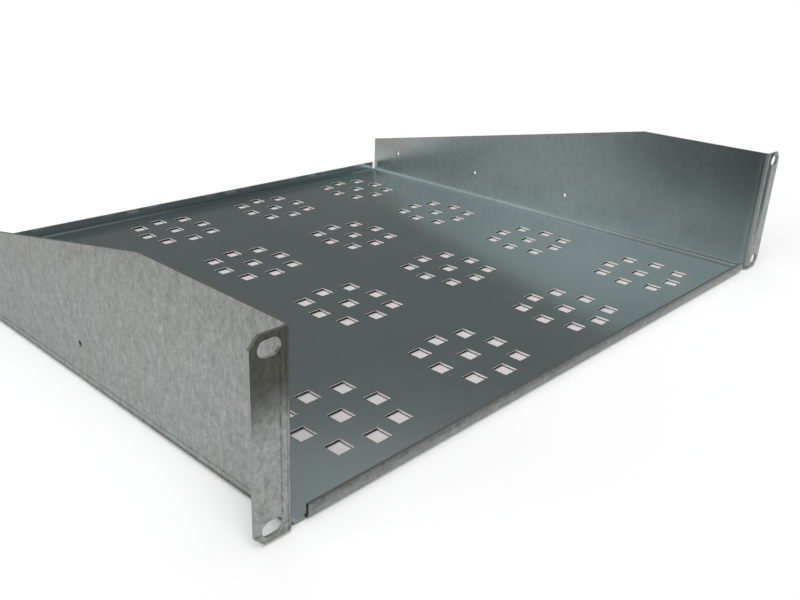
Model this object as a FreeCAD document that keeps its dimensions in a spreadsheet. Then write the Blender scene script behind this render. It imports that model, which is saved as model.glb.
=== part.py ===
import FreeCAD, Part
import math
import os
import Sketcher

# A two-unit cantilever shelf for a 19-inch rack: one sheet of galvanised steel.
# The floor is punched with clusters of square vents.  Both sides are folded up
# into walls, each wall's front is folded out into a mounting ear, and the front
# and rear of the floor are folded up into low stiffening lips.
#
# X runs across the rack, Y from the front to the back and Z up.  The sheet is
# drawn with its ears' front faces at Y = 0 and the floor's underside at Z = 0,
# and the finished body is then moved back so that its origin lies under the
# middle of its overall size.

# ---------------------------------------------------------------- driving sizes
SIZES = {
    # the sheet
    "sheet_thickness": 1.5,
    "bend_radius": 1.5,           # inside radius of every fold
    # the mounting ears
    "panel_width": 482.6,         # over both ears: a 19-inch panel
    "rack_height": 88.9,          # the two rack units that the shelf takes up
    "panel_gap": 0.8,             # the ears are this much shorter than that
    "panel_lift": 1.1,            # the ears stop this far above the underside
    "ear_reach": 19.3,            # from the wall's inner face to the ear's tip
    "ear_chamfer": 4.5,           # off each outer corner of an ear
    "slot_edge": 8.75,            # from the ear's tip to its slots' centres
    "slot_inset": 6.35,           # from the end of the rack units to a slot's centre
    "slot_length": 10.5,
    "slot_width": 7.0,
    # the tray
    "shelf_depth": 398.0,         # from the ears' front faces to the rear edge
    "level_run": 100.0,           # walls keep their full height this far back
    "rear_height": 33.0,          # height of the walls at the rear edge
    # the lips
    "lip_setback": 0.9,           # the front lip stands behind the ears' faces
    "tab_setback": 2.6,           # the flat tabs beside it stand further back
    "front_lip_height": 7.5,
    "front_lip_gap": 8.0,         # from the front lip's end to the wall
    "rear_lip_height": 9.0,
    "rear_lip_gap": 4.0,          # from the rear lip's end to the wall
    # the cuts that let the folds meet at the corners
    "slit_width": 0.3,            # beside each end of the front lip
    "relief_length": 1.5,         # behind each ear's fold, along the wall's foot
    "relief_rise": 0.6,           # above the fold at the wall's foot
    # the vents
    "vent_side": 10.0,
    "vent_reach": 25.0,           # centre vent to the four on the axes
    "vent_diagonal": 20.0,        # the other four, each way from the centre
    "cluster_pitch": 100.0,
    "vent_margin": 15.0,          # least plain strip round all the clusters
    # the small holes along each wall
    "wall_hole_diameter": 3.2,
    "wall_hole_height": 23.0,
    "wall_hole_setback": 165.0,   # from the ears' front faces to the first hole
    "wall_hole_pitch": 100.0,
    "wall_hole_margin": 15.0,     # least plain run behind the last hole
}

doc = FreeCAD.newDocument("rack_shelf")
sheet = doc.addObject("Spreadsheet::Sheet", "sizes")
for row, (alias, number) in enumerate(SIZES.items(), start=1):
    sheet.set("A%d" % row, alias)
    sheet.set("B%d" % row, str(number))
    sheet.setAlias("B%d" % row, alias)
doc.recompute()


class Size:
    """A length that knows its value now and the expression that keeps it current."""

    def __init__(self, value, text):
        self.value = float(value)
        self.text = text

    def __add__(self, other):
        other = as_size(other)
        return Size(self.value + other.value, "(%s + %s)" % (self.text, other.text))

    def __sub__(self, other):
        other = as_size(other)
        return Size(self.value - other.value, "(%s - %s)" % (self.text, other.text))

    def __mul__(self, other):
        other = as_size(other)
        return Size(self.value * other.value, "(%s * %s)" % (self.text, other.text))

    def __truediv__(self, other):
        other = as_size(other)
        return Size(self.value / other.value, "(%s / %s)" % (self.text, other.text))

    def __neg__(self):
        return Size(-self.value, "(0 - %s)" % self.text)

    def whole(self):
        """The whole number at or below this size."""
        return Size(math.floor(self.value), "floor(%s)" % self.text)


def as_size(number):
    return number if isinstance(number, Size) else Size(number, repr(float(number)))


def cell(alias):
    return Size(sheet.get(alias), "sizes.%s" % alias)


# ---------------------------------------------------------------- sizes that follow
nought = as_size(0)
thickness = cell("sheet_thickness")
inner_radius = cell("bend_radius")
outer_radius = inner_radius + thickness

ear_tip = cell("panel_width") / 2
wall_inside = ear_tip - cell("ear_reach")
wall_outside = wall_inside + thickness
fold_start = wall_outside - outer_radius        # where the floor stops being flat
ear_flat = wall_inside + outer_radius           # where the ear becomes flat
wall_front = outer_radius                       # where the wall becomes flat
rear_edge = cell("shelf_depth")

panel_height = cell("rack_height") - cell("panel_gap")
ear_bottom = cell("panel_lift")
ear_top = ear_bottom + panel_height

front_lip_face = cell("lip_setback")
tab_edge = cell("tab_setback")
front_lip_fold = front_lip_face + outer_radius
front_lip_end = wall_inside - cell("front_lip_gap")
slit_end = front_lip_end + cell("slit_width")
rear_lip_fold = rear_edge - outer_radius
rear_lip_end = wall_inside - cell("rear_lip_gap")
clear_of_sheet = thickness * 2                  # how far a cut starts outside


# ---------------------------------------------------------------- drawing helpers
START, END, CENTRE = range(1, 4)    # how a sketch numbers the points of an edge
ORIGIN = (-1, START)                # a sketch's own origin, as edge and point
UPWARDS = FreeCAD.Vector(0, 0, 1)   # out of the drawing
QUARTER_TURN = math.pi / 2


def origin_part(body, role):
    """The origin plane or axis of a body, found by its role."""
    return next(part for part in body.Origin.OriginFeatures if part.Role == role)


def new_sketch(body, name, plane, height=nought):
    """A sketch on one of the body's own planes, lifted along the plane's normal."""
    sketch = body.newObject("Sketcher::SketchObject", name)
    sketch.AttachmentSupport = [(origin_part(body, plane), "")]
    sketch.MapMode = "FlatFace"
    sketch.setExpression("AttachmentOffset.Base.z", height.text)
    return sketch


def dimension(sketch, kind, size, *where):
    """A driving dimension, bound to the spreadsheet."""
    index = sketch.addConstraint(Sketcher.Constraint(kind, *where, size.value))
    sketch.renameConstraint(index, "%s_%d" % (kind.lower(), index))
    sketch.setExpression("Constraints.%s_%d" % (kind.lower(), index), size.text)


def pin_point(sketch, edge, end, place):
    """Fixes one end of an edge by its two distances from the sketch's origin."""
    dimension(sketch, "DistanceX", place[0], *ORIGIN, edge, end)
    dimension(sketch, "DistanceY", place[1], *ORIGIN, edge, end)


def bend_arc(start, end, radius, turn):
    """The short arc between two corners.  An arc always runs anticlockwise, so one
    that turns right is drawn from its far end."""
    chord = end - start
    rise = math.sqrt(radius * radius - chord.Length * chord.Length / 4)
    side = FreeCAD.Vector(-chord.y, chord.x, 0).normalize() * rise
    middle = start + chord / 2
    centre = middle + side if turn == "left" else middle - side
    ends = (start, end) if turn == "left" else (end, start)
    angles = [math.atan2(spot.y - centre.y, spot.x - centre.x) for spot in ends]
    return Part.ArcOfCircle(Part.Circle(centre, UPWARDS, radius), *angles)


def outline(sketch, corners):
    """A closed outline.  A corner is (x, y), or (x, y, radius, turn) where the edge
    that leaves it is a fold turning left or right to the next corner."""
    spots = [FreeCAD.Vector(corner[0].value, corner[1].value, 0) for corner in corners]
    firsts, lasts = [], []
    for number, (_, _, *fold) in enumerate(corners):
        here, there = spots[number], spots[(number + 1) % len(spots)]
        first, last = (END, START) if "right" in fold else (START, END)
        if fold:
            line = bend_arc(here, there, fold[0].value, fold[1])
        else:
            line = Part.LineSegment(here, there)
        edge = sketch.addGeometry(line, False)
        firsts.append((edge, first))
        lasts.append((edge, last))
    for number, first in enumerate(firsts):
        sketch.addConstraint(Sketcher.Constraint("Coincident", *lasts[number - 1], *first))
    for (edge, first), (x, y, *fold) in zip(firsts, corners):
        pin_point(sketch, edge, first, (x, y))
        if fold:
            dimension(sketch, "Radius", fold[0], edge)


def rectangle(sketch, left, right, bottom, top):
    outline(sketch, [(left, bottom), (right, bottom), (right, top), (left, top)])


def round_slot(sketch, centre_x, centre_y, length, width):
    """A level slot with half-round ends."""
    radius = width / 2
    reach = (length - width) / 2
    centres = (centre_x + reach, centre_x - reach)
    arcs = []
    for x, start in zip(centres, (-QUARTER_TURN, QUARTER_TURN)):
        circle = Part.Circle(FreeCAD.Vector(x.value, centre_y.value, 0), UPWARDS, radius.value)
        arcs.append(sketch.addGeometry(Part.ArcOfCircle(circle, start, start + math.pi), False))
    for arc, next_arc in (arcs, reversed(arcs)):
        ends = sketch.getPoint(arc, END), sketch.getPoint(next_arc, START)
        edge = sketch.addGeometry(Part.LineSegment(*ends), False)
        sketch.addConstraint(Sketcher.Constraint("Coincident", arc, END, edge, START))
        sketch.addConstraint(Sketcher.Constraint("Coincident", edge, END, next_arc, START))
    for arc, x in zip(arcs, centres):
        pin_point(sketch, arc, CENTRE, (x, centre_y))
        dimension(sketch, "Radius", radius, arc)
        sketch.addConstraint(Sketcher.Constraint("Vertical", arc, START, arc, CENTRE))
        sketch.addConstraint(Sketcher.Constraint("Vertical", arc, END, arc, CENTRE))


def add_pad(body, name, sketch, length, symmetric=False, backwards=False):
    """Adds sheet metal by extruding a sketch."""
    pad = body.newObject("PartDesign::Pad", name)
    pad.Profile = sketch
    pad.SideType = "Symmetric" if symmetric else "One side"
    pad.Reversed = backwards
    pad.setExpression("Length", length.text)
    body.Tip = pad
    doc.recompute()
    return pad


def add_cut(body, name, sketch, length=None):
    """Cuts a sketch out of the sheet, right through unless a length is given."""
    before = body.Shape.Volume
    cut = body.newObject("PartDesign::Pocket", name)
    cut.Profile = sketch
    if length is None:
        cut.Type = "ThroughAll"
    else:
        cut.setExpression("Length", length.text)
    body.Tip = cut
    doc.recompute()
    if not body.Shape.Volume < before:
        raise RuntimeError("%s removed nothing" % name)
    return cut


# ---------------------------------------------------------------- the folded sheet
shelf = doc.addObject("PartDesign::Body", "shelf")
shelf.Label = "shelf"

# The floor and both walls: one channel, folded up along its two long sides.
channel = new_sketch(shelf, "channel_section", "XZ_Plane")
outline(channel, [
    (-wall_outside, ear_top),
    (-wall_outside, outer_radius, outer_radius, "left"),
    (-fold_start, nought),
    (fold_start, nought, outer_radius, "left"),
    (wall_outside, outer_radius),
    (wall_outside, ear_top),
    (wall_inside, ear_top),
    (wall_inside, outer_radius, inner_radius, "right"),
    (fold_start, thickness),
    (-fold_start, thickness, inner_radius, "right"),
    (-wall_inside, outer_radius),
    (-wall_inside, ear_top),
])
add_pad(shelf, "channel", channel, rear_edge, backwards=True)

# The front of the blank is cut back for the lip's fold between its two slits, for
# the flat tabs beside them, and for the folds that carry the ears.
far_out = wall_outside + clear_of_sheet
front_blank = new_sketch(shelf, "front_blank_outline", "XY_Plane", ear_top)
outline(front_blank, [
    (-far_out, -clear_of_sheet),
    (far_out, -clear_of_sheet),
    (far_out, wall_front),
    (fold_start, wall_front),
    (fold_start, tab_edge),
    (slit_end, tab_edge),
    (slit_end, front_lip_fold),
    (-slit_end, front_lip_fold),
    (-slit_end, tab_edge),
    (-fold_start, tab_edge),
    (-fold_start, wall_front),
    (-far_out, wall_front),
])
add_cut(shelf, "front_blank", front_blank)

# The rear of the blank is cut back to the rear lip's fold between the two walls.
rear_blank = new_sketch(shelf, "rear_blank_outline", "XY_Plane", ear_top)
rectangle(rear_blank, -fold_start, fold_start, rear_lip_fold, rear_edge + clear_of_sheet)
add_cut(shelf, "rear_blank", rear_blank)

# Behind the level run the walls slope down to the rear.
slope = new_sketch(shelf, "wall_slope", "YZ_Plane", wall_outside)
outline(slope, [
    (cell("level_run"), ear_top),
    (rear_edge, cell("rear_height")),
    (rear_edge + clear_of_sheet, cell("rear_height")),
    (rear_edge + clear_of_sheet, ear_top + clear_of_sheet),
    (cell("level_run"), ear_top + clear_of_sheet),
])
add_cut(shelf, "wall_slopes", slope)

# A short notch ends each wall's lower fold just behind the ear's own fold.
relief_top = outer_radius + cell("relief_rise")
for side, name in ((-1, "left"), (1, "right")):
    notch = new_sketch(shelf, name + "_relief_outline", "XZ_Plane", -wall_front)
    rectangle(notch, fold_start * side, far_out * side, -clear_of_sheet, relief_top)
    add_cut(shelf, name + "_relief", notch, cell("relief_length"))

# The front lip: the floor's edge folded straight up.
front_lip = new_sketch(shelf, "front_lip_section", "YZ_Plane")
outline(front_lip, [
    (front_lip_fold, thickness),
    (front_lip_fold, nought, outer_radius, "right"),
    (front_lip_face, outer_radius),
    (front_lip_face, cell("front_lip_height")),
    (front_lip_face + thickness, cell("front_lip_height")),
    (front_lip_face + thickness, outer_radius, inner_radius, "left"),
])
add_pad(shelf, "front_lip", front_lip, front_lip_end * 2, symmetric=True)

# The rear lip, a little taller and reaching nearer to the walls.
rear_lip = new_sketch(shelf, "rear_lip_section", "YZ_Plane")
outline(rear_lip, [
    (rear_lip_fold, thickness, inner_radius, "left"),
    (rear_edge - thickness, outer_radius),
    (rear_edge - thickness, cell("rear_lip_height")),
    (rear_edge, cell("rear_lip_height")),
    (rear_edge, outer_radius, outer_radius, "right"),
    (rear_lip_fold, nought),
])
add_pad(shelf, "rear_lip", rear_lip, rear_lip_end * 2, symmetric=True)

# A row of small round holes low on both walls.
hole_row_room = rear_edge - cell("wall_hole_setback") - cell("wall_hole_margin")
holes_in_row = (hole_row_room / cell("wall_hole_pitch")).whole() + 1
hole = new_sketch(shelf, "wall_hole", "YZ_Plane", wall_outside)
hole_radius = cell("wall_hole_diameter") / 2
hole_spot = FreeCAD.Vector(cell("wall_hole_setback").value, cell("wall_hole_height").value, 0)
ring = hole.addGeometry(Part.Circle(hole_spot, UPWARDS, hole_radius.value), False)
pin_point(hole, ring, CENTRE, (cell("wall_hole_setback"), cell("wall_hole_height")))
dimension(hole, "Radius", hole_radius, ring)
hole_cut = add_cut(shelf, "wall_holes", hole)

hole_row = shelf.newObject("PartDesign::LinearPattern", "wall_hole_row")
hole_row.Originals = [hole_cut]
hole_row.Direction = (origin_part(shelf, "Y_Axis"), [""])
hole_row.Mode = "Spacing"
hole_row.setExpression("Offset", cell("wall_hole_pitch").text)
hole_row.setExpression("Occurrences", holes_in_row.text)
shelf.Tip = hole_row
doc.recompute()

# The right ear: the wall's front edge folded outwards, with its full-height fold,
# a flat plate with chamfered outer corners, and a slot near each end.
ear_fold = new_sketch(shelf, "ear_fold_section", "XY_Plane", ear_bottom)
outline(ear_fold, [
    (wall_inside, wall_front, outer_radius, "left"),
    (ear_flat, nought),
    (ear_flat, thickness, inner_radius, "right"),
    (wall_outside, wall_front),
])
ear_fold_pad = add_pad(shelf, "ear_fold", ear_fold, panel_height)

ear_plate = new_sketch(shelf, "ear_outline", "XZ_Plane")
chamfer = cell("ear_chamfer")
outline(ear_plate, [
    (ear_flat, ear_bottom),
    (ear_tip - chamfer, ear_bottom),
    (ear_tip, ear_bottom + chamfer),
    (ear_tip, ear_top - chamfer),
    (ear_tip - chamfer, ear_top),
    (ear_flat, ear_top),
])
ear_plate_pad = add_pad(shelf, "ear_plate", ear_plate, thickness, backwards=True)

slots = new_sketch(shelf, "rack_slots_outline", "XZ_Plane")
slot_x = ear_tip - cell("slot_edge")
ear_middle = (ear_bottom + ear_top) / 2
slot_rise = cell("rack_height") / 2 - cell("slot_inset")    # above and below the middle
for slot_z in (ear_middle - slot_rise, ear_middle + slot_rise):
    round_slot(slots, slot_x, slot_z, cell("slot_length"), cell("slot_width"))
slot_cut = add_cut(shelf, "rack_slots", slots)

# The left ear is the right one's mirror image.
ears = shelf.newObject("PartDesign::Mirrored", "ears")
ears.Originals = [ear_fold_pad, ear_plate_pad, slot_cut]
ears.MirrorPlane = (origin_part(shelf, "YZ_Plane"), [""])
shelf.Tip = ears
doc.recompute()

# The vents: nine square holes in a ring round a centre hole, punched as a cluster
# and repeated over as much of the floor as has room for whole clusters.
cluster_size = cell("vent_reach") * 2 + cell("vent_side")
plain_edges = cell("vent_margin") * 2 + cluster_size
floor_length = rear_edge - tab_edge
clusters_across = ((wall_inside * 2 - plain_edges) / cell("cluster_pitch")).whole() + 1
clusters_deep = ((floor_length - plain_edges) / cell("cluster_pitch")).whole() + 1
first_across = -((clusters_across - 1) * cell("cluster_pitch") / 2)
floor_middle = (rear_edge + tab_edge) / 2
first_deep = floor_middle - (clusters_deep - 1) * cell("cluster_pitch") / 2

reach, diagonal = cell("vent_reach"), cell("vent_diagonal")
vent_places = [(nought, nought)]
vent_places += [(reach, nought), (-reach, nought), (nought, reach), (nought, -reach)]
vent_places += [(diagonal, diagonal), (diagonal, -diagonal)]
vent_places += [(-diagonal, diagonal), (-diagonal, -diagonal)]

vents = new_sketch(shelf, "vent_cluster", "XY_Plane", thickness)
half_vent = cell("vent_side") / 2
for across, deep in vent_places:
    x, y = first_across + across, first_deep + deep
    rectangle(vents, x - half_vent, x + half_vent, y - half_vent, y + half_vent)
vent_cut = add_cut(shelf, "vents", vents)

vent_field = shelf.newObject("PartDesign::LinearPattern", "vent_field")
vent_field.Originals = [vent_cut]
vent_field.Direction = (origin_part(shelf, "X_Axis"), [""])
vent_field.Mode = "Spacing"
vent_field.setExpression("Offset", cell("cluster_pitch").text)
vent_field.setExpression("Occurrences", clusters_across.text)
vent_field.Direction2 = (origin_part(shelf, "Y_Axis"), [""])
vent_field.Mode2 = "Spacing"
vent_field.Spacings2 = [-1.0]     # each gap in the second direction is one whole pitch
vent_field.setExpression("Offset2", cell("cluster_pitch").text)
vent_field.setExpression("Occurrences2", clusters_deep.text)
shelf.Tip = vent_field
doc.recompute()

# The origin lies under the middle of the overall size.
shelf.setExpression("Placement.Base.y", (-(rear_edge / 2)).text)
doc.recompute()

# ---------------------------------------------------------------- check and write
for item in doc.Objects:
    if "Invalid" in item.State or "Error" in item.State:
        raise RuntimeError("%s failed: %s" % (item.Label, item.State))

shape = shelf.Shape
if shape.isNull() or not shape.isValid() or len(shape.Solids) != 1:
    raise RuntimeError("the shelf is not one sound solid")
os.makedirs("parts", exist_ok=True)
shape.exportStep("parts/%s.step" % shelf.Label)
print(shelf.Label, "volume %.1f mm3" % shape.Volume, shape.BoundBox)
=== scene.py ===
import math
import bmesh
import bpy
from mathutils import Euler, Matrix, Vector


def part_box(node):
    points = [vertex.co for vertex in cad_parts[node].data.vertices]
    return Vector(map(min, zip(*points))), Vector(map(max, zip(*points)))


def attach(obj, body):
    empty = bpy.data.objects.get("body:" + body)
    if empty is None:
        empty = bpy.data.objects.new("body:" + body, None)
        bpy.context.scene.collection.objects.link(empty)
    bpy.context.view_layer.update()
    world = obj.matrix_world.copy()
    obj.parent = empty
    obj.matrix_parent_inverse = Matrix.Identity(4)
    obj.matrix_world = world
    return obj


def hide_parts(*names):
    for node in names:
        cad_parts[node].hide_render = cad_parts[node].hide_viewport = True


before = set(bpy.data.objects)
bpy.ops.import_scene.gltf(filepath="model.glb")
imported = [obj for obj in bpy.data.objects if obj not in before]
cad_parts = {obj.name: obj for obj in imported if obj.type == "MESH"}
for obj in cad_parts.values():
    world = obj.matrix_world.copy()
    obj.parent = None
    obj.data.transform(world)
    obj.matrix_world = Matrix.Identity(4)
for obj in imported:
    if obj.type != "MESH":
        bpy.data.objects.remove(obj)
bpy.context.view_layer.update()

# The folded sheet: the whole shelf is one piece of 1.5 mm hot-dip galvanised steel,
# punched and sheared flat and then folded on a press brake.  It keeps the solid's
# own form, and its cut edges are rolled over a little, as the tools leave them.
SHEET = 0.0015
ROLLED_EDGE = 0.00018
SAME_SPOT = 0.000001
STRIP_SLACK = 1.1       # a cut face may be a tenth wider than the sheet is thick
SHARP = math.radians(50)
FLAT = math.radians(0.5)
SKIN, CUT_EDGE = 0, 1

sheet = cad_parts["shelf"].copy()
sheet.data = sheet.data.copy()
sheet.data.materials.clear()
sheet.name = sheet.data.name = "folded_sheet"
# The copy is a piece of its own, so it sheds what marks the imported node.
for key in list(sheet.keys()):
    if key.startswith("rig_"):
        del sheet[key]
sheet.parent = None
bpy.context.scene.collection.objects.link(sheet)


def is_sharp(edge):
    return len(edge.link_faces) == 2 and edge.calc_face_angle() > SHARP


mesh = bmesh.new()
mesh.from_mesh(sheet.data)
bmesh.ops.remove_doubles(mesh, verts=mesh.verts, dist=SAME_SPOT)
bmesh.ops.dissolve_limit(mesh, angle_limit=FLAT, verts=mesh.verts, edges=mesh.edges)
for face in mesh.faces:
    # A cut face is a strip as wide as the sheet is thick, between two sharp edges.
    rim = sum(edge.calc_length() for edge in face.edges if is_sharp(edge))
    cut = face.calc_area() < STRIP_SLACK * SHEET * rim / 2
    face.material_index = CUT_EDGE if cut else SKIN
bmesh.ops.bevel(mesh, geom=[edge for edge in mesh.edges if is_sharp(edge)], offset=ROLLED_EDGE,
                affect="EDGES", segments=2, profile=0.5, material=-1, clamp_overlap=True)
for face in mesh.faces:
    face.smooth = True

# The sheet's places: its rear edge and its ears' faces and tips come from the solid, and
# the rest follows from how far an ear reaches, and from the folds' outside radius.
low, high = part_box("shelf")
EARS_FACE, REAR_EDGE, TOP = low[1], high[1], high[2]
EAR_REACH = 0.0193
FOLD = 0.003
WALL = high[0] - EAR_REACH              # a wall's inner face, out from the middle
WALL_OUTSIDE = WALL + SHEET
SIDE = WALL - FOLD                      # beyond it come fold, wall and ear
LIP_SETBACK = 0.0009                    # the front lip stands this far behind the ears
LIP_BACK = EARS_FACE + LIP_SETBACK + SHEET
LIP_ROOM = 0.012                        # both lips and their folds lie within this
EAR_CORNER = 0.009                      # and an ear's upper edges within this of its top

# Two maps go with the mesh.  The first is the flat pattern, the sheet as it lay before
# folding: the zinc's grain runs on over the folds, because it was there first.  The
# second keeps how deep the burnished band goes into each cut, and which tool made it;
# the band is deeper on cuts that face -X, towards the lamps, as a painted highlight.
BURNISHED_DEPTH = 0.0003
BURNISHED_LIT = 0.0011                # deeper on cuts that face -X: a painted highlight
VENT, SLOT, OUTLINE, LIP_CUT, TORN = 0.0, 0.5, 1.0, 1.3, 1.5    # from bright to dark
UP_OR_DOWN, SIDEWAYS = 0.3, 0.7         # how far a face's normal turns each way


def unfolded(spot):
    """Where a spot on the folded sheet lay in the flat pattern."""
    x, y, z = spot
    rise = max(z - FOLD, 0)
    if abs(x) > SIDE:
        across = math.copysign(min(abs(x), WALL_OUTSIDE) + rise, x)
        return across, y - max(abs(x) - WALL_OUTSIDE, 0)
    return x, y + math.copysign(rise, y)


def tool_of(face):
    """The tool that cut an edge: a punch in the floor and the ears, or the shears."""
    middle = face.calc_center_median()
    if abs(middle.x) > WALL_OUTSIDE:
        sheared = middle.z > TOP - EAR_CORNER and face.normal.z > UP_OR_DOWN
        return OUTLINE if sheared else SLOT
    if abs(middle.x) > SIDE or abs(middle.y) > REAR_EDGE - LIP_ROOM:
        if abs(face.normal.x) > SIDEWAYS and middle.z > SHEET:
            return LIP_CUT
        on_tab = face.normal.y < -SIDEWAYS and middle.z < SHEET
        return SLOT if on_tab else OUTLINE
    return VENT


pattern = mesh.loops.layers.uv.new("flat_pattern")
burnish = mesh.loops.layers.uv.new("burnished_band")
for face in mesh.faces:
    # Painted highlight: the burnished band reaches deeper on cuts that face -X, towards the lamps.
    lamp_side = max(-face.normal.x, 0) ** 2
    band = BURNISHED_DEPTH + (BURNISHED_LIT - BURNISHED_DEPTH) * lamp_side
    tool = tool_of(face)
    for corner in face.loops:
        corner[pattern].uv = unfolded(corner.vert.co)
        corner[burnish].uv = (band, tool)
mesh.to_mesh(sheet.data)
mesh.free()

flatten = sheet.modifiers.new("flat_faces", "WEIGHTED_NORMAL")
flatten.mode = "FACE_AREA"
flatten.weight = 100

# The skin: a mill-rolled zinc coat.  Its upper side is smooth, glossy and a little blue; the
# under side, which folds round to the outside, and the ears are duller, with smudges, fine
# streaks up the walls and small dark flecks.  Both sides' colours are partly painted reflection.
SMOOTH_ZINC = (0.356, 0.423, 0.428, 1)
DULL_ZINC = (0.281, 0.298, 0.293, 1)
# The brown serves real stains and, on the walls' inner rear tops, a painted reflection.
BROWN_STAIN_AND_REFLECTION = (0.275, 0.273, 0.254, 1)
# Painted shade for the left ear's top.
LEFT_EAR_SHADE = (0.066, 0.068, 0.057, 1)
DARKEST = 0.12
FLECK_SIZE = 0.0013
SMUDGE_SIZE = 0.0020
STREAK_WIDTH = 0.0022
BLOTCH_SIZE = 0.0045
PATCH_SIZE = 0.013
STAIN_SIZE = 0.045
GRAIN_HEIGHT = 0.00002
PRESSED = 4.0           # a tool's mark is this many times as deep as the grain is high
SOFT_EDGE = 0.0002      # over which one finish gives way to the next

skin = bpy.data.materials.new("galvanised_skin")
skin.use_nodes = True
tree = skin.node_tree
shader = tree.nodes["Principled BSDF"]


def feed(tree, value, socket):
    """Gives a socket a plain value, or another node's output."""
    if isinstance(value, bpy.types.NodeSocket):
        tree.links.new(value, socket)
    else:
        socket.default_value = value


def maths(tree, operation, *values):
    step = tree.nodes.new("ShaderNodeMath")
    step.operation = operation
    for value, socket in zip(values, step.inputs):
        feed(tree, value, socket)
    return step.outputs[0]


def both(tree, first, *others):
    """Full only where every one of the masks is full."""
    for mask in others:
        first = maths(tree, "MULTIPLY", first, mask)
    return first


def outside(tree, mask):
    """Full where the mask is empty."""
    return maths(tree, "SUBTRACT", 1.0, mask)


def add_up(tree, first, *parts):
    """The first value plus each further part times its weight."""
    total = first
    for value, weight in parts:
        total = maths(tree, "MULTIPLY_ADD", value, weight, total)
    return total


def fade(tree, value, start, end, low=0.0, high=1.0):
    """Goes smoothly from low to high while value goes from start to end."""
    step = tree.nodes.new("ShaderNodeMapRange")
    step.interpolation_type = "SMOOTHSTEP"
    for number, socket in zip((value, start, end, low, high), step.inputs):
        feed(tree, number, socket)
    return step.outputs[0]


def line(tree, value, centre, half_width):
    """Full along a thin mark, and empty beyond its half width."""
    off = maths(tree, "ABSOLUTE", maths(tree, "SUBTRACT", value, centre))
    return fade(tree, off, half_width, 0.0)


def clouds(tree, where, size, stretch=1.0, detail=2.0, roughness=0.5, curl=0.0, shift=0.0):
    """Cloudy patches of one size, 0 to 1, stretched along the pattern's X."""
    place = tree.nodes.new("ShaderNodeMapping")
    tree.links.new(where, place.inputs["Vector"])
    place.inputs["Location"].default_value = (shift, shift, 0)
    place.inputs["Scale"].default_value = (1 / (size * stretch), 1 / size, 1 / size)
    cloud = tree.nodes.new("ShaderNodeTexNoise")
    tree.links.new(place.outputs[0], cloud.inputs["Vector"])
    cloud.inputs["Scale"].default_value = 1.0
    cloud.inputs["Detail"].default_value = detail
    cloud.inputs["Roughness"].default_value = roughness
    cloud.inputs["Distortion"].default_value = curl
    return cloud.outputs[0]


def blend(tree, amount, first, second):
    """Goes from the first colour to the second as the amount goes from 0 to 1."""
    mix = tree.nodes.new("ShaderNodeMix")
    mix.data_type = "RGBA"
    feed(tree, amount, mix.inputs["Factor"])
    # The node has sockets for every kind of value; these are the ones for colours.
    feed(tree, first, mix.inputs[6])
    feed(tree, second, mix.inputs[7])
    return mix.outputs[2]


def split(tree, vector):
    """The three parts of a vector."""
    axes = tree.nodes.new("ShaderNodeSeparateXYZ")
    tree.links.new(vector, axes.inputs[0])
    return axes.outputs


def uv_map(tree, name):
    chart = tree.nodes.new("ShaderNodeUVMap")
    chart.uv_map = name
    return chart.outputs[0]


flat = uv_map(tree, "flat_pattern")
x, y, z = split(tree, tree.nodes.new("ShaderNodeTexCoord").outputs["Object"])
along = split(tree, flat)[1]
outward = maths(tree, "ABSOLUTE", x)

# The parts of the folded sheet, as masks.
REAR_FOLD = REAR_EDGE - FOLD            # where the rear lip's fold starts
FRONT_FROM, FRONT_FULL = -0.03, -0.19   # where the walls' fronts set in and are full

upright = fade(tree, outward, SIDE, WALL)
level = fade(tree, outward, SIDE, SIDE - SOFT_EDGE)
outer = fade(tree, outward, WALL + 0.5 * SHEET, WALL + 0.8 * SHEET)
inner_wall = maths(tree, "SUBTRACT", upright, outer)
under = fade(tree, z, 0.6 * SHEET, 0.4 * SHEET)
right_side = maths(tree, "GREATER_THAN", x, 0.0)
ear = both(tree, fade(tree, y, EARS_FACE + LIP_SETBACK, EARS_FACE + SOFT_EDGE), upright)
right_ear = both(tree, ear, right_side)
front_lip = both(tree, fade(tree, y, LIP_BACK - SOFT_EDGE, LIP_BACK - 4 * SOFT_EDGE), level)
rear_lip = both(tree, fade(tree, y, REAR_FOLD - 2 * SOFT_EDGE, REAR_FOLD + 4 * SOFT_EDGE), level)
dull = maths(tree, "MAXIMUM", maths(tree, "MAXIMUM", outer, under), front_lip)
wall_front = both(tree, inner_wall, fade(tree, y, FRONT_FROM, FRONT_FULL))

# The zinc's own grain, which is faint on the smooth side and strong on the dull one.
SMUDGED, BLOTCHED, STREAKED, FLECKED, STAINED = 0.95, 0.5, 0.2, 0.28, 0.12
FLECK, FLECK_FULL = 0.66, 0.76          # how dense a speck is that shows as a fleck
PATCH, PATCH_FULL = 0.48, 0.62          # and how dense a patch where flecks lie

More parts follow.
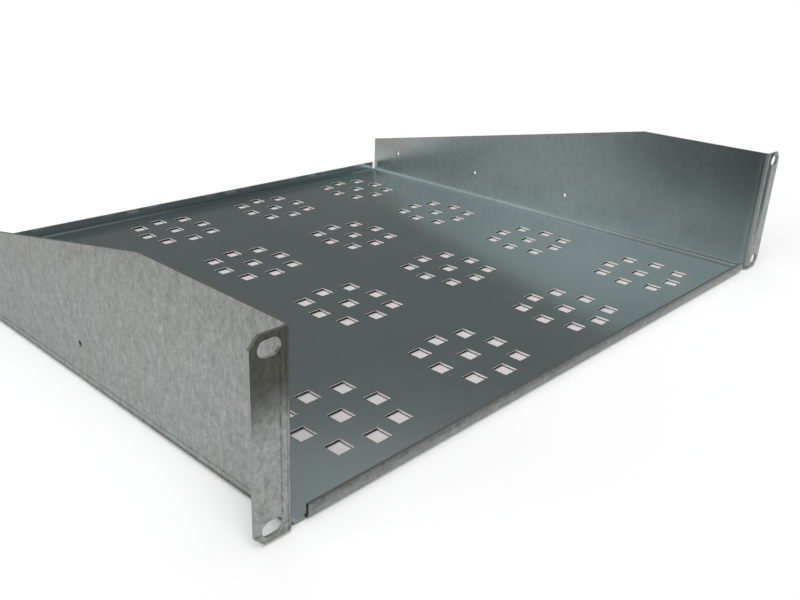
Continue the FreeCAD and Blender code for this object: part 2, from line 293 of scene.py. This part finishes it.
smudges = clouds(tree, flat, SMUDGE_SIZE, stretch=1.2, detail=4.0, roughness=0.66, curl=0.7)
blotches = clouds(tree, flat, BLOTCH_SIZE, stretch=1.6, curl=0.6, shift=9.0)
streaks = clouds(tree, flat, STREAK_WIDTH, stretch=6.0, curl=0.4, shift=3.0)
specks = clouds(tree, flat, FLECK_SIZE, stretch=1.4, detail=1.0, roughness=0.4, curl=1.0, shift=7.0)
patches = clouds(tree, flat, PATCH_SIZE, stretch=1.5, detail=1.0, shift=11.0)
stains = clouds(tree, flat, STAIN_SIZE, stretch=1.6, detail=3.0, roughness=0.55, shift=5.0)
flecks = both(tree, fade(tree, specks, FLECK, FLECK_FULL), fade(tree, patches, PATCH, PATCH_FULL))
mottle = add_up(tree, 0.12, (upright, 0.26), (dull, 0.84), (ear, 0.22), (wall_front, -0.22))
grain = add_up(tree, -(SMUDGED + BLOTCHED + STREAKED) / 2, (smudges, SMUDGED),
               (blotches, BLOTCHED), (streaks, STREAKED), (both(tree, flecks, dull), -FLECKED))
tone = add_up(tree, 1.0, (both(tree, grain, mottle), 1.0),
              (maths(tree, "SUBTRACT", stains, 0.5), STAINED))

# Marks of the press brake's tools: a line where the die's edge bore on the sheet, along
# each wall's foot and each ear, and a darker strip on each stretched fold, partly the
# stretched zinc and partly painted shade.  With them go painted shade on each ear's fold
# and a painted gleam beside it.
DIE_REACH = 0.0062                      # how high up a wall its foot's line lies
DIE_LINE = 0.0009                       # half the width of a die's line
SHADE_BAND_FROM, SHADE_BAND_TO = 0.012, 0.058   # heights up the right ear of a painted dark band
DASH_SIZE = 0.0035
DASH, DASH_FULL, DASH_GAP = 0.36, 0.58, 0.35

foot = fade(tree, z, 1.4 * FOLD, FOLD)
foot_line = both(tree, line(tree, z, DIE_REACH, DIE_LINE), outer)
foot_fold = both(tree, foot, outer)
dashes = fade(tree, clouds(tree, flat, DASH_SIZE, detail=1.0, shift=2.0), DASH, DASH_FULL, DASH_GAP)
# Painted shade: how far up the right ear the dark band beside its fold reaches.
shade_band_height = both(tree, fade(tree, z, SHADE_BAND_FROM, SHADE_BAND_TO), right_side)
# The lines beside an ear's fold: how far each lies behind the ear's face on the pattern
# or, with a minus, out on the ear; half its width; where it shows; how much darker it is.
EAR_LINES = (
    (-0.0045, DIE_LINE, both(tree, upright, dashes, outside(tree, shade_band_height)), 0.46),  # broken
    (-0.0015, 0.0007, upright, 0.32),   # painted shade on the ear's fold
    (0.0026, DIE_LINE, outer, 0.14),    # where the fold meets the wall
    (0.0052, 0.0016, upright, -0.14),   # a painted gleam beside it
    (0.0085, 0.0014, outer, 0.16),      # and out on the wall
)
marks_and_shading = add_up(tree, 0.0, (foot_line, 0.36), (foot_fold, 0.20))
for place, half_width, where, darker in EAR_LINES:
    ear_line = both(tree, line(tree, along, EARS_FACE + place, half_width), where)
    marks_and_shading = add_up(tree, marks_and_shading, (ear_line, darker))

# The folds seen from inside, in painted light and shade: a painted highlight along each
# wall's foot with a painted gleam beside it, painted shade over it towards the front, and
# painted shade along the rear lip's foot.
FOOT_STRIP, FOLD_STRIP = 0.0035, 0.0026         # half the strips' widths
SIDE_IN, REAR_IN = 0.0016, 0.0023               # how far in from wall and rear edge they lie
SIDE_HEIGHT, REAR_HEIGHT = 0.0019, 0.0034       # up to which they are full
GLEAM_REACH, GLEAM_HEIGHT = 0.0065, 0.0075      # over the floor and up the wall
FOLD_SHADE_FROM, FOLD_SHADE_FULL = 0.03, -0.16

foot_bend = both(tree, line(tree, outward, WALL, FOOT_STRIP), foot)
front_fold_shade = both(tree, foot_bend, fade(tree, y, FOLD_SHADE_FROM, FOLD_SHADE_FULL))
fold_highlight = both(tree, line(tree, outward, WALL - SIDE_IN, FOLD_STRIP),
                 fade(tree, z, SIDE_HEIGHT + 0.001, SIDE_HEIGHT))
side_gleam = both(tree, fade(tree, outward, WALL - GLEAM_REACH, WALL - 0.001),
                  fade(tree, z, GLEAM_HEIGHT, 0.002), outside(tree, outer))
rear_fold_shade = both(tree, line(tree, y, REAR_EDGE - REAR_IN, FOLD_STRIP),
                 fade(tree, z, REAR_HEIGHT + 0.0014, REAR_HEIGHT))
tone = add_up(tree, tone, (marks_and_shading, -1.0), (ear, 0.09), (fold_highlight, 0.65), (side_gleam, 0.10),
              (rear_fold_shade, -0.42), (front_fold_shade, -0.50))

# Painted shade and painted light for what the zinc reflects, darkest on a band up the right
# ear's fold.  A row of the table says which part is painted, and along which axis; where
# that starts and where it is full; and how much paler it is painted.
BAND_REACH, BAND_FADE, BAND_FOLD = 0.0074, 0.001, 0.0012    # out on the ear from its fold
SHADE_AND_LIGHT = (
    (front_lip, x, -0.20, 0.18, -0.22),         # the front lip towards its right end,
    (front_lip, z, 0.0026, 0.0078, -0.42),      # at its top
    (front_lip, z, 0.0024, 0.0004, -0.26),      # and at its foot
    (rear_lip, x, -0.05, 0.19, -0.18),          # the rear lip towards its right end
    (inner_wall, z, 0.002, 0.005, -0.27),       # the walls' insides above the fold,
    (wall_front, z, 0.030, 0.085, -0.18),       # at the top of their front
    (inner_wall, y, 0.08, 0.18, 0.22),          # and, paler, towards the rear
    (outer, z, 0.064, 0.088, -0.08),            # the walls' outsides at their top
    (outer, y, -0.15, 0.12, -0.19),             # and towards the rear
    (outside(tree, upright), x, 0.02, 0.15, 0.14),  # the floor, paler on its right: a painted reflection of the right wall
)
band_end = EARS_FACE - BAND_REACH
ear_shade_band = both(tree, fade(tree, along, band_end, band_end + BAND_FADE),
                fade(tree, along, EARS_FACE + SOFT_EDGE, EARS_FACE - BAND_FOLD))
# Painted shade: the front lip, the walls' fronts and the right ear darker, and darkest on a band up the
# right ear's fold.
tone = add_up(tree, tone, (front_lip, -0.135), (wall_front, -0.12), (right_ear, -0.08),
              (both(tree, shade_band_height, ear_shade_band), -0.88))
for part, axis, start, full, paler in SHADE_AND_LIGHT:
    tone = add_up(tree, tone, (both(tree, part, fade(tree, axis, start, full)), paler))
tone = maths(tree, "MAXIMUM", tone, DARKEST)

# The colours: bluish on the smooth side and grey on the dull one, both partly painted
# reflection; brown stains high on the walls' outsides and along their feet; and a painted
# brown reflection at the rear top of the walls' insides.
# Painted reflection: the walls' insides take on part of the grey, and the right ear more of the blue.
duller = add_up(tree, dull, (inner_wall, 0.40), (right_ear, -0.45))
colour = blend(tree, duller, SMOOTH_ZINC, DULL_ZINC)
rear_top_reflection = both(tree, inner_wall, fade(tree, y, 0.12, 0.19), fade(tree, z, 0.014, 0.030))
colour = blend(tree, rear_top_reflection, colour, BROWN_STAIN_AND_REFLECTION)
browned = add_up(tree, 0.0, (fade(tree, stains, 0.45, 0.7), 0.5),
                 (fade(tree, z, 0.035, 0.085), 0.5), (foot_fold, 0.5))
colour = blend(tree, both(tree, browned, outer), colour, BROWN_STAIN_AND_REFLECTION)

# Painted shade: the left ear is dark from about halfway up to its top.
LEFT_SHADE_FROM, LEFT_SHADE_FULL = 0.043, 0.071   # heights up the ear
LEFT_SHADE_WANDER = 0.006                    # how far the shade's edge wanders
left_shade_height = add_up(tree, z, (maths(tree, "SUBTRACT", patches, 0.5), LEFT_SHADE_WANDER))
left_ear = maths(tree, "SUBTRACT", ear, right_ear)
left_shade = both(tree, fade(tree, left_shade_height, LEFT_SHADE_FROM, LEFT_SHADE_FULL), left_ear)
colour = blend(tree, left_shade, colour, LEFT_EAR_SHADE)
shade = tree.nodes.new("ShaderNodeVectorMath")
shade.operation = "SCALE"
tree.links.new(colour, shade.inputs[0])
tree.links.new(tone, shade.inputs["Scale"])
tree.links.new(shade.outputs[0], shader.inputs["Base Color"])

gloss = add_up(tree, 0.14, (upright, 0.10), (dull, 0.08), (ear, 0.04), (foot_bend, 0.15),
               (both(tree, smudges, mottle), 0.10), (stains, 0.04))
tree.links.new(gloss, shader.inputs["Roughness"])
shader.inputs["Metallic"].default_value = 0.9

relief = tree.nodes.new("ShaderNodeBump")
relief.inputs["Strength"].default_value = 1.0
relief.inputs["Distance"].default_value = GRAIN_HEIGHT
height = both(tree, add_up(tree, smudges, (streaks, 0.3)), mottle)
tree.links.new(add_up(tree, height, (marks_and_shading, -PRESSED)), relief.inputs["Height"])
tree.links.new(relief.outputs[0], shader.inputs["Normal"])

# The cut edges: the punch burnishes the upper part of a vent's cut bright, deeper as a
# painted highlight where it faces -X, and the rest breaks off rough and dark, partly painted
# shade beneath the sheet.  The slots are plain punched steel, and the sheared outline and
# the front lip's ends are darker.
BURNISHED = (0.90, 0.89, 0.86, 1)
BROKEN_SHADED = (0.026, 0.023, 0.022, 1)
SHEARED = (0.135, 0.13, 0.122, 1)
PUNCHED = (0.27, 0.27, 0.26, 1)
GRIT_SIZE = 0.0012
GRIT_HEIGHT = 0.00003
RAGGED = 0.0005         # how far the burnished band's lower edge wanders
BAND_EDGE = 0.0001      # half of that edge's softness

edge_steel = bpy.data.materials.new("cut_edge")
edge_steel.use_nodes = True
tree = edge_steel.node_tree
shader = tree.nodes["Principled BSDF"]
place = tree.nodes.new("ShaderNodeTexCoord").outputs["Object"]
rise = split(tree, place)["Z"]
band, tool = split(tree, uv_map(tree, "burnished_band"))[:2]

grit = clouds(tree, place, GRIT_SIZE, detail=3.0, roughness=0.6)
band_rise = add_up(tree, rise, (maths(tree, "SUBTRACT", grit, 0.5), RAGGED), (band, 1.0))
broken_shaded_band = fade(tree, band_rise, SHEET + BAND_EDGE, SHEET - BAND_EDGE)
clean = fade(tree, tool, VENT, SLOT)
edge_colour = blend(tree, broken_shaded_band, BURNISHED, BROKEN_SHADED)
edge_colour = blend(tree, clean, edge_colour, PUNCHED)
edge_colour = blend(tree, fade(tree, tool, SLOT, OUTLINE), edge_colour, SHEARED)
edge_colour = blend(tree, fade(tree, tool, OUTLINE, TORN), edge_colour, BROKEN_SHADED)
tree.links.new(edge_colour, shader.inputs["Base Color"])
dullness = maths(tree, "MAXIMUM", broken_shaded_band, clean)
tree.links.new(fade(tree, dullness, 0.0, 1.0, 0.34, 0.55), shader.inputs["Roughness"])
shader.inputs["Metallic"].default_value = 0.5
shader.inputs["Specular IOR Level"].default_value = 0.2
relief = tree.nodes.new("ShaderNodeBump")
relief.inputs["Strength"].default_value = 1.0
relief.inputs["Distance"].default_value = GRIT_HEIGHT
tree.links.new(grit, relief.inputs["Height"])
tree.links.new(relief.outputs[0], shader.inputs["Normal"])

sheet.data.materials.append(skin)
sheet.data.materials.append(edge_steel)
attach(sheet, "root")
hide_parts("shelf")

# The studio floor: matt white paper that runs on to the horizon as its own backdrop,
# with a grey patch painted on it, just smaller than the shelf that stands on it: painted
# shade for the ground seen through the vents.
PAPER_RADIUS = 12
PAPER_DROP = 0.0004
PAPER = (0.955, 0.955, 0.955, 1)
SHADE_UNDER_SHELF = (0.62, 0.595, 0.60, 1)
SHADE_INSET = 0.004
PAPER_SIDES = 96

floor_mesh = bmesh.new()
bmesh.ops.create_circle(floor_mesh, cap_ends=True, radius=PAPER_RADIUS, segments=PAPER_SIDES)
bmesh.ops.translate(floor_mesh, verts=floor_mesh.verts, vec=(0, 0, -PAPER_DROP))
floor_data = bpy.data.meshes.new("studio_floor")
floor_mesh.to_mesh(floor_data)
floor_mesh.free()
floor = bpy.data.objects.new("studio_floor", floor_data)
bpy.context.scene.collection.objects.link(floor)

paper = bpy.data.materials.new("white_paper")
paper.use_nodes = True
tree = paper.node_tree
shader = tree.nodes["Principled BSDF"]
x, y = split(tree, tree.nodes.new("ShaderNodeTexCoord").outputs["Object"])[:2]
under_shelf = both(tree, maths(tree, "LESS_THAN", maths(tree, "ABSOLUTE", x), WALL - SHADE_INSET),
               maths(tree, "LESS_THAN", maths(tree, "ABSOLUTE", y), REAR_EDGE - SHADE_INSET))
tree.links.new(blend(tree, under_shelf, PAPER, SHADE_UNDER_SHELF), shader.inputs["Base Color"])
shader.inputs["Roughness"].default_value = 1.0
shader.inputs["Specular IOR Level"].default_value = 0.0
floor_data.materials.append(paper)

# The studio light: a dim room with a pale horizon, a low window on the left, one broad
# soft lamp high in front of the left side, and two weaker ones above and behind.
HORIZON = (0.75, 0.75, 0.75, 1)
OVERHEAD = (0.15, 0.15, 0.15, 1)
OVERHEAD_FROM = 0.2     # the sine of the height from which the room is evenly dim
LAMP_DISTANCE = 3

world = bpy.data.worlds.new("studio_room")
bpy.context.scene.world = world
world.use_nodes = True
tree = world.node_tree
direction = tree.nodes.new("ShaderNodeTexCoord").outputs["Generated"]
ramp = tree.nodes.new("ShaderNodeValToRGB")
tree.links.new(split(tree, direction)["Z"], ramp.inputs[0])
tree.links.new(ramp.outputs[0], tree.nodes["Background"].inputs["Color"])
horizon, overhead = ramp.color_ramp.elements
horizon.position, horizon.color = 0.0, HORIZON
overhead.position, overhead.color = OVERHEAD_FROM, OVERHEAD


def soft_lamp(name, azimuth, elevation, spread, strength):
    """A distant lamp, a disc `spread` degrees across.  Azimuth 0 is +X, and 90 is +Y."""
    data = bpy.data.lights.new(name, "SUN")
    data.angle = math.radians(spread)
    data.energy = strength
    lamp = bpy.data.objects.new(name, data)
    turn, rise = math.radians(azimuth), math.radians(elevation)
    towards = Vector((math.cos(turn) * math.cos(rise), math.sin(turn) * math.cos(rise), math.sin(rise)))
    lamp.rotation_euler = towards.to_track_quat("Z", "Y").to_euler()
    lamp.location = towards * LAMP_DISTANCE
    bpy.context.scene.collection.objects.link(lamp)


soft_lamp("left_window", azimuth=165, elevation=15, spread=50, strength=0.90)
soft_lamp("high_left_lamp", azimuth=225, elevation=50, spread=60, strength=2.28)
soft_lamp("high_rear_lamp", azimuth=45, elevation=62, spread=60, strength=0.25)
soft_lamp("ceiling_lamp", azimuth=0, elevation=90, spread=60, strength=0.62)

# The camera: low in front of the left ear, looking over the shelf to its rear right
# corner.
FOCAL_LENGTH = 37.39
SENSOR_WIDTH = 36
EYE = Vector((-0.39425, -0.40642, 0.21103))
PITCH, ROLL, HEADING = 67.4154, -2.2991, -46.7579   # degrees; a pitch of 90 looks level
NEAREST_SEEN = 0.01

camera_data = bpy.data.cameras.new("camera")
camera_data.lens = FOCAL_LENGTH
camera_data.sensor_width = SENSOR_WIDTH
camera_data.clip_start = NEAREST_SEEN
camera = bpy.data.objects.new("camera", camera_data)
camera.location = EYE
camera.rotation_euler = Euler([math.radians(angle) for angle in (PITCH, ROLL, HEADING)])
bpy.context.scene.collection.objects.link(camera)
bpy.context.scene.camera = camera
bpy.context.scene.view_settings.view_transform = "Standard"
